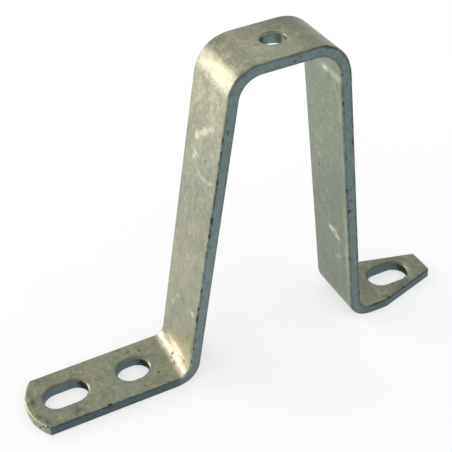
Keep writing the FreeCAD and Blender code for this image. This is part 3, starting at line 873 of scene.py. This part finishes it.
def galvanised_steel(finish):
    """Hot-dip galvanised mild steel: dull zinc, clouded and slightly lumpy, that grew over a rolled bar.

    The flats are clouded in patches a few millimetres wide, with a fine grain and faint streaks along
    the bar. Long edges, punched walls and the inner side are painted darker and bluer as shade, the
    first fold and a few rims carry painted highlights, arrises collect dark specks, and scrapes show
    bright metal.
    """
    material = bpy.data.materials.new("hot_dip_galvanised_steel")
    material.use_nodes = True
    tree = material.node_tree
    tree.nodes.clear()
    new = partial(add_node, tree)
    bar = new("Attribute", attribute_name="flat_bar").outputs["Vector"]
    sheared, edge, wall, inner, margin, scuffs_and_painted_highlight, stains_and_slot_shade, tone_and_painted_light, cooled, painted_fold_highlight, stretched = (
        new("Attribute", attribute_name=name).outputs["Fac"] for name in SURFACE_NUMBERS
    )

    # Rolling's streaks are six times as long as wide. Scratches lie aslant the bar, and lean the same way
    # seen from either side, so y is turned round on the inner side.
    flip = new("Math", {0: inner, 1: -2.0, 2: 1.0}, operation="MULTIPLY_ADD")
    facing = new("CombineXYZ", {"X": 1.0, "Y": flip, "Z": 1.0})
    facing, across, along = (
        new("VectorMath", {0: bar, 1: stretch}, operation="MULTIPLY")
        for stretch in (facing, (1.0, 0.16, 1.0), (0.5, 1.0, 1.0))
    )
    rolled, leaning = (
        new(
            "Mapping",
            {"Vector": base, "Rotation": (0, 0, turn), "Scale": (size, 1, 1)},
            vector_type="TEXTURE",
        )
        for base, turn, size in ((bar, 0.12, 6.0), (facing, 1.25, 7.0))
    )

    # Clouds 9 mm wide and a cast 28 mm wide, from uneven cooling; grain 0.6 mm wide, drawn a little coarser
    # than the zinc's own so that it shows; blotches of 2.6 mm, rolling's streaks of 0.9 mm, crazing across
    # the bar, scratches, and specks. Each has its size in millimetres, its detail and its roughness.
    cloudy, broad, grain, blotch, streak, crazing, hair, amount = (
        new("TexNoise", {"Vector": base, "Scale": 1 / (size * MM), "Detail": detail, "Roughness": rough})
        for base, size, detail, rough in (
            (bar, 9, 5.0, 0.62),
            (bar, 28, 2.0, 0.5),
            (bar, 0.6, 2.0, 0.6),
            (bar, 2.6, 3.0, 0.6),
            (rolled, 0.9, 3.0, 0.6),
            (across, 0.9, 3.0, 0.65),
            (leaning, 1.5, 2.0, 0.5),
            (along, 1.1, 4.0, 0.6),
        )
    )

    # What each of them does: from its own range to the range of its effect, eased or straight
    cloud_mix, cool_mix, scratched, near_edge, grained, blotched, streaked, crazing, rough = (
        new(
            "MapRange",
            {"Value": value, "From Min": low, "From Max": high, "To Min": first, "To Max": last},
            interpolation_type=easing,
        )
        for value, low, high, first, last, easing in (
            (cloudy, 0.32, 0.68, 0.0, 1.0, "SMOOTHSTEP"),
            (broad, 0.4, 0.7, 0.0, 0.45, "SMOOTHSTEP"),
            (blotch, 0.5, 0.62, 0.0, 0.35, "SMOOTHSTEP"),
            (margin, 2.2 * MM, 0.3 * MM, 0.0, 0.03, "SMOOTHSTEP"),
            (grain, 0.25, 0.75, 0.82, 1.18, "LINEAR"),
            (blotch, 0.3, 0.7, 0.84, 1.16, "LINEAR"),
            (streak, 0.3, 0.7, 0.93, 1.07, "LINEAR"),
            (crazing, 0.35, 0.6, -0.24, 0.0, "LINEAR"),
            (blotch, 0.3, 0.7, finish.roughness - 0.07, finish.roughness + 0.07, "LINEAR"),
        )
    )

    # The coat's light: grain, blotches, streaks, the place's own tones with their painted highlights and
    # shade, and the crazing of stretched zinc
    light_and_tone = new("Math", {0: tone_and_painted_light, 1: 0.42, 2: 1.0}, operation="MULTIPLY_ADD")
    crazing = new("Math", {0: crazing, 1: stretched, 2: 1.0}, operation="MULTIPLY_ADD")
    light = grained
    for factor in (blotched, streaked, light_and_tone, crazing):
        light = new("Math", {0: light, 1: factor}, operation="MULTIPLY")

    # The coat's colour: clouds and cool patches, then painted shade on the inner side, the long edges and
    # the walls, and a painted highlight in the first fold
    cool_mix = new("Math", {0: cooled, 1: 0.75, 2: cool_mix}, operation="MULTIPLY_ADD", use_clamp=True)
    inner_shade_mix = new("Math", {0: inner, 1: 0.65}, operation="MULTIPLY")
    coat = (*finish.dull, 1)
    for share_of, paint in (
        (cloud_mix, finish.pale),
        (cool_mix, finish.cool),
        (inner_shade_mix, finish.inner),
        (edge, finish.edge),
        (wall, finish.wall),
        (painted_fold_highlight, finish.painted_highlight_colour),
    ):
        coat = new("Mix", {0: share_of, 6: coat, 7: (*paint, 1)}, data_type="RGBA").outputs[2]
    coat = new("VectorMath", {"Vector": coat, "Scale": light}, operation="SCALE")

    # Scrapes: thin lines where a stretched noise crosses its middle, and broken patches, on the flats only;
    # the patches also paint a highlight inside the right top fold
    hair = new("Math", {0: hair, 1: 0.5}, operation="SUBTRACT")
    hair = new("Math", {0: hair}, operation="ABSOLUTE")
    hair = new(
        "MapRange",
        {"Value": hair, "From Min": 0.022, "From Max": 0.0},
        interpolation_type="SMOOTHSTEP",
    )
    scratched = new("Math", {0: scratched, 1: scuffs_and_painted_highlight}, operation="MAXIMUM")
    level = new("Math", {0: 1.0, 1: sheared}, operation="SUBTRACT")
    for factor in (scratched, level):
        hair = new("Math", {0: hair, 1: factor}, operation="MULTIPLY")
    patch = new("Math", {0: scuffs_and_painted_highlight, 1: 0.5, 2: grain}, operation="MULTIPLY_ADD")

    # Specks and pits on the arrises and long edges, close to any edge, and at the marked stains, with
    # painted shade at the slots' right ends
    arris = new("Math", {0: level, 1: sheared}, operation="MULTIPLY")
    for factor, weight in ((stains_and_slot_shade, 0.30), (arris, 0.25), (edge, 0.04)):
        amount = new("Math", {0: factor, 1: weight, 2: amount}, operation="MULTIPLY_ADD")
    amount = new("Math", {0: amount, 1: near_edge}, operation="ADD")
    patch, stain_and_shade = (
        new(
            "MapRange",
            {"Value": value, "From Min": 0.66, "From Max": high, "To Max": 0.85},
            interpolation_type="SMOOTHSTEP",
        )
        for value, high in ((patch, 0.92), (amount, 0.84))
    )
    scrape_and_highlight = new("Math", {0: hair, 1: patch}, operation="MAXIMUM")
    for share_of, paint in ((scrape_and_highlight, finish.scuff_and_highlight_colour), (stain_and_shade, finish.stain_and_shade)):
        coat = new("Mix", {0: share_of, 6: coat, 7: (*paint, 1)}, data_type="RGBA").outputs[2]

    # Gloss follows the blotches; stains, the painted slot shade and the walls are duller, and the painted
    # fold highlight is glossier
    rough = new("Math", {0: stain_and_shade, 1: 0.3, 2: rough}, operation="MULTIPLY_ADD", use_clamp=True)
    for factor, weight in ((painted_fold_highlight, -0.16), (wall, 0.2)):
        rough = new("Math", {0: factor, 1: weight, 2: rough}, operation="MULTIPLY_ADD")

    # Lumps the size of the blotches and of the grain break up the highlights, and stains are pits
    lumps = new("Bump", {"Height": blotch, "Strength": 1.0, "Distance": 0.10 * MM})
    fine = grain
    for factor, weight in ((streak, 0.35), (stain_and_shade, -0.8)):
        fine = new("Math", {0: factor, 1: weight, 2: fine}, operation="MULTIPLY_ADD")
    bump = new("Bump", {"Height": fine, "Strength": 1.0, "Distance": 0.04 * MM, "Normal": lumps})
    surface = new(
        "BsdfPrincipled",
        {"Base Color": coat, "Metallic": finish.metallic, "Roughness": rough, "Normal": bump},
    )
    new("OutputMaterial", {"Surface": surface})
    return material


def stretched_coat(z, line, flat):
    """How far the outside of each fold at the top was stretched, from 0 to 1."""
    s, _, n = flat.T
    total = np.zeros(len(flat))
    for entry in TOP_FOLDS:
        low, high = line.starts[entry], line.starts[entry + 1]
        inside = ramp(np.minimum(s - low, high - s), 0, CRAZING_EASE)
        total += inside * ramp(n, 0, z.thickness / 2)
    return total


def edge_gap(z, line, openings, flat):
    """How far each point is from the nearest edge of the bar or rim of an opening.

    The left end is an arc, so beyond its middle its gap only grows.
    """
    s, y, _ = flat.T
    total, wide = line.starts[-1], z.width / 2
    gap = wide - np.abs(y)
    radius = end_radius(z)
    past_middle = np.clip(s - radius, 0, None)
    gap = np.minimum(gap, radius - np.hypot(s - radius, y) + past_middle * NO_EDGE_SLOPE)
    slope = math.atan2(wide - z.tip / 2, z.taper)
    taper = (wide - np.abs(y)) * math.cos(slope) - (s - total + z.taper) * math.sin(slope)
    gap = np.minimum(np.minimum(gap, taper), total - s)
    for opening in openings:
        gap = np.minimum(gap, rim_distance(opening, s, y))
    return np.clip(gap, 0, None)


def surface_numbers(z, line, openings, flat, normals, cut):
    """What the finish reads at each point, in the order of SURFACE_NUMBERS.

    The arris is a ragged dark line just under each face on the long edges: the long edge x a ramp
    down from ARRIS_DEPTH x one plus ripples. The long edges and the inner side take painted shade. A
    mouth takes painted shade where the wall is steep, and its drawn-in rim more where it faces the
    front. A slot's right end takes the darkest painted shade of all, the round hole's right end a
    painted highlight, and the left end has pits and a painted highlight along its rim. All of these are
    products of ramps, and the tones are their sum with the marks' tones, which hold painted highlights
    and shade beside the coat's own mottles.
    """
    s, _, n = flat.T
    to_left = -normals[:, 0]
    left_foot = s < line.starts[LEFT_LEG]
    left_stop, right_start = line.starts[FOLDS[0]], line.starts[RIGHT_FOOT]
    on_foot = np.maximum(
        ramp(s, left_stop + IN_FOLD, left_stop - ON_FOOT),
        ramp(s, right_start - IN_FOLD, right_start + ON_FOOT),
    )
    on_rim = (edge_gap(z, line, [], flat) < z.edge_radius + RIM_SLACK) * 1.0

    sideways = ramp(np.abs(normals[:, 1]), *SIDEWAYS)
    # The long edges take painted shade
    shaded_long_edge = ramp(cut, *EDGE_CUT) * on_rim * sideways
    depth = z.thickness / 2 - np.abs(n)
    arris = shaded_long_edge * ramp(np.abs(depth - ARRIS_DEPTH), ARRIS_REACH, 0)
    arris *= np.where(left_foot, ARRIS_ON_FOOT, 1) * np.where(n > 0, 1, ARRIS_BELOW)
    arris *= ARRIS_STRENGTH + ARRIS_STRENGTH * ripples(flat, ARRIS_WAVES, ARRIS_SEED)

    # A mouth's steep wall takes painted shade, and its drawn-in rim more painted shade where it faces the
    # front
    to_front = np.clip(-normals[:, 1] / np.maximum(cut, LEAST_CUT), 0, 1)
    mouth_shade = ramp(cut, MOUTH_FROM - MOUTH_FRONT * to_front, 1) * (1 - on_rim)
    rolled = to_front * ramp(cut, 0, 0.5) * (1 - mouth_shade) * (1 - on_rim)
    # The hole's right end takes a painted highlight, and loses the walls' painted shade
    painted_hole_highlight = ramp(to_left, *HOLE_HIGHLIGHT_TURN) * (1 - on_foot)
    hole_wall = mouth_shade * (1 - on_foot) * (1 - painted_hole_highlight)
    mouth_shade *= 1 - HOLE_HIGHLIGHT_LACKS * painted_hole_highlight - HOLE_WALL_LACKS * hole_wall
    slot_wall = mouth_shade * on_foot
    # The slots' right ends take painted shade as their walls turn to the left
    dark_from = np.where(left_foot, *SLOT_SHADE_FROM)
    painted_slot_shade = slot_wall * np.clip(SLOT_SHADE_SLOPE * to_left - dark_from, 0, 1)

    # The left end: pits, and a painted highlight along its rounded rim
    left_end = on_rim * cut * ramp(to_left, 0, 0.5)
    pits = left_end * ramp(ripples(flat, PIT_WAVES, PIT_SEED), 0, 0.4)
    painted_end_highlight = left_end * 4 * cut * (1 - cut)

    slot_end_shade = slot_wall * ramp(to_left, 0, SLOT_END_TURN)
    light_and_tone = ADDS.left_end * left_end + painted_end_highlight - arris - rolled + ADDS.hole_wall * hole_wall
    light_and_tone += ADDS.painted_hole_highlight * painted_hole_highlight * cut * (1 - on_rim) - TAKES.slot_end_shade * slot_end_shade
    # The feet's long edges take more painted shade
    taken = np.where(left_foot, TAKES.left_foot_edge, TAKES.right_foot_edge)
    light_and_tone -= shaded_long_edge * on_foot * taken
    return (
        cut,
        shaded_long_edge,
        np.maximum(shaded_long_edge * on_foot * FOOT_EDGE_HAS, mouth_shade),
        # Painted shade on the inner side
        np.clip(0.5 - INNER_SLOPE * n / z.thickness, 0, 1) * (1 - cut),
        edge_gap(z, line, openings, flat),
        marks(flat, SCUFFS_AND_PAINTED_HIGHLIGHT),
        marks(flat, STAINS) + pits + SLOT_SHADE_WEIGHT * painted_slot_shade + ARRIS_STAIN * arris,
        np.clip(marks(flat, TONES_AND_PAINTED_LIGHT, *MARKED_TONES) + light_and_tone, *ALL_TONES),
        marks(flat, COOL, -1),
        marks(flat, PAINTED_FOLD_HIGHLIGHTS),
        stretched_coat(z, line, flat),
    )


class MakeBar(bpy.types.Operator):
    """Builds the folded, punched and galvanised bar as one closed surface."""

    bl_idname = "bracket.make_bar"
    bl_label = "Folded bar"

    def execute(self, context):
        settings = context.scene.bracket
        z, wear = settings.bar, settings.wear
        line = fold_line(z)
        sheets, openings = flat_bar(z, line)
        flat, normals, cut, faces = weld(sheets)
        moved = real_bar(z, wear, line, openings, flat, normals, cut)
        folded, plain = fold(line, moved), fold(line, flat)
        shading = fold_normals(line, flat[:, 0], normals)
        shading = shading + mesh_normals(folded, faces) - mesh_normals(plain, faces)
        shading /= np.linalg.norm(shading, axis=1)[:, None]

        mesh = bpy.data.meshes.new("galvanised_bar")
        mesh.from_pydata(folded.astype(np.float32).tolist(), [], faces.tolist())
        if mesh.validate():
            raise RuntimeError("the bar's surface has faces that had to be mended")
        mesh.polygons.foreach_set("use_smooth", np.ones(len(faces), bool))
        mesh.normals_split_custom_set_from_vertices(shading.tolist())
        store = mesh.attributes.new("flat_bar", "FLOAT_VECTOR", "POINT")
        store.data.foreach_set("vector", flat.astype(np.float32).ravel())
        numbers = surface_numbers(z, line, openings, flat, normals, cut)
        for name, values in zip(SURFACE_NUMBERS, numbers):
            store = mesh.attributes.new(name, "FLOAT", "POINT")
            store.data.foreach_set("value", values.astype(np.float32))
        mesh.materials.append(galvanised_steel(settings.zinc))
        bar = bpy.data.objects.new("galvanised_bar", mesh)
        context.collection.objects.link(bar)
        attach(bar, "root")
        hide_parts(NODE)
        return {"FINISHED"}


# The floor lies just under the feet, and glows a little where it is seen
FLOOR_REACH, FLOOR_LEVEL, FLOOR_GLOW = 6.0, -0.05 * MM, 0.58
# Each lamp's name, its way from the bracket's middle and its diameter in metres, its power in watts
# and its colour
LAMPS = (
    ("key_lamp", (-0.62, 0.72, 0.28), 0.68, 4.7, "#fff1ee"),
    ("fill_lamp", (0.35, -0.85, 0.75), 0.6, 0.5, "#eef4ff"),
)


class MakeStage(bpy.types.Operator):
    """Lays the pale floor, hangs the lamps and stands the camera where the photograph was taken."""

    bl_idname = "bracket.make_stage"
    bl_label = "Stage"

    def execute(self, context):
        stage = context.scene.bracket.stage
        self.make_floor(context, stage)
        self.make_room(context, stage)
        self.make_lamps(context, stage)
        self.make_camera(context, stage)
        context.scene.view_settings.view_transform = "Standard"
        return {"FINISHED"}

    def make_floor(self, context, stage):
        """A wide square just under the feet, white to the eye and in the metal, with a soft shadow."""
        material = bpy.data.materials.new("pale_floor_paper")
        material.use_nodes = True
        tree = material.node_tree
        tree.nodes.clear()
        path = add_node(tree, "LightPath").outputs
        seen = path["Is Camera Ray"]
        for other in ("Is Glossy Ray", "Is Transmission Ray"):
            seen = add_node(tree, "Math", {0: seen, 1: path[other]}, operation="MAXIMUM")
        strength = add_node(tree, "Math", {0: seen, 1: FLOOR_GLOW}, operation="MULTIPLY")
        glow = add_node(tree, "Emission", {"Color": (1, 1, 1, 1), "Strength": strength})
        paper = add_node(tree, "BsdfDiffuse", {"Color": (*stage.floor, 1), "Roughness": 0.5})
        both = add_node(tree, "AddShader", {0: glow, 1: paper})
        add_node(tree, "OutputMaterial", {"Surface": both})
        signs = ((-1, -1), (1, -1), (1, 1), (-1, 1))
        corners = [(x * FLOOR_REACH, y * FLOOR_REACH, FLOOR_LEVEL) for x, y in signs]
        mesh = bpy.data.meshes.new("floor")
        mesh.from_pydata(corners, [], [(0, 1, 2, 3)])
        mesh.materials.append(material)
        floor = bpy.data.objects.new("floor", mesh)
        context.collection.objects.link(floor)

    def make_room(self, context, stage):
        """An even pale light from all round."""
        world = bpy.data.worlds.new("pale_room")
        world.use_nodes = True
        tree = world.node_tree
        tree.nodes.clear()
        glow = add_node(tree, "Background", {"Color": (*stage.room, 1), "Strength": 1.0})
        add_node(tree, "OutputWorld", {"Surface": glow})
        context.scene.world = world

    def make_lamps(self, context, stage):
        """A large warm lamp behind to the left, and a weak cool one near the camera."""
        middle = Vector((0.0, 0.0, 70 * MM))
        for name, direction, size, power, code in LAMPS:
            light = bpy.data.lights.new(name, "AREA")
            light.shape = "DISK"
            light.size = size
            light.energy = power
            light.color = to_linear(code)
            lamp = bpy.data.objects.new(name, light)
            lamp.location = middle + Vector(direction)
            lamp.rotation_mode = "QUATERNION"
            lamp.rotation_quaternion = Vector(direction).to_track_quat("Z", "Y")
            context.collection.objects.link(lamp)

    def make_camera(self, context, stage):
        """The camera looks along -back, with its right and up turned by the roll about that axis."""
        east, rise = stage.azimuth, stage.elevation
        level_part = math.cos(rise)
        back = Vector(
            (math.sin(east) * level_part, -math.cos(east) * level_part, math.sin(rise))
        )
        level = Vector((0, 0, 1)).cross(back).normalized()
        upright = back.cross(level)
        right = level * math.cos(stage.roll) + upright * math.sin(stage.roll)
        up = upright * math.cos(stage.roll) - level * math.sin(stage.roll)
        spot = Vector(stage.aim) + back * stage.distance
        spot = spot + right * stage.sideways + up * stage.upwards
        data = bpy.data.cameras.new("camera")
        data.sensor_width = 36.0
        data.sensor_fit = "HORIZONTAL"
        data.lens = stage.lens
        data.clip_start, data.clip_end = 0.01, 50.0
        camera = bpy.data.objects.new("camera", data)
        turned = Matrix((right, up, back)).transposed().to_4x4()
        camera.matrix_world = Matrix.Translation(spot) @ turned
        context.collection.objects.link(camera)
        context.scene.camera = camera


class BracketSettings(bpy.types.PropertyGroup):
    """Everything a user may change."""

    bar: PointerProperty(name="Bar", description="Sizes of the bar", type=BarSizes)
    wear: PointerProperty(name="Wear", description="Departures from the perfect shape", type=WearAmounts)
    zinc: PointerProperty(name="Zinc", description="The zinc coat", type=ZincFinish)
    stage: PointerProperty(name="Stage", description="Camera, floor and lamps", type=StageSettings)


class BracketPanel(bpy.types.Panel):
    """Lists the settings and the two steps that build the scene."""

    bl_idname = "VIEW3D_PT_bracket"
    bl_label = "Hat bracket"
    bl_space_type = "VIEW_3D"
    bl_region_type = "UI"
    bl_category = "Bracket"

    def draw(self, context):
        settings = context.scene.bracket
        for title, group in (
            ("Bar", settings.bar),
            ("Wear", settings.wear),
            ("Zinc coat", settings.zinc),
            ("Stage", settings.stage),
        ):
            box = self.layout.box()
            box.label(text=title)
            for name in group.bl_rna.properties.keys():
                if name not in {"rna_type", "name"}:
                    box.prop(group, name)
        for step in (MakeBar, MakeStage):
            self.layout.operator(step.bl_idname)


CLASSES = (
    BarSizes,
    WearAmounts,
    ZincFinish,
    StageSettings,
    BracketSettings,
    MakeBar,
    MakeStage,
    BracketPanel,
)


def register():
    for item in CLASSES:
        bpy.utils.register_class(item)
    bpy.types.Scene.bracket = PointerProperty(
        name="Bracket", description="Settings of the hat bracket", type=BracketSettings
    )


def unregister():
    del bpy.types.Scene.bracket
    for item in reversed(CLASSES):
        bpy.utils.unregister_class(item)


def main():
    """Registers the classes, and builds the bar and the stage."""
    register()
    bpy.ops.bracket.make_bar()
    bpy.ops.bracket.make_stage()


if __name__ == "__main__":
    main()
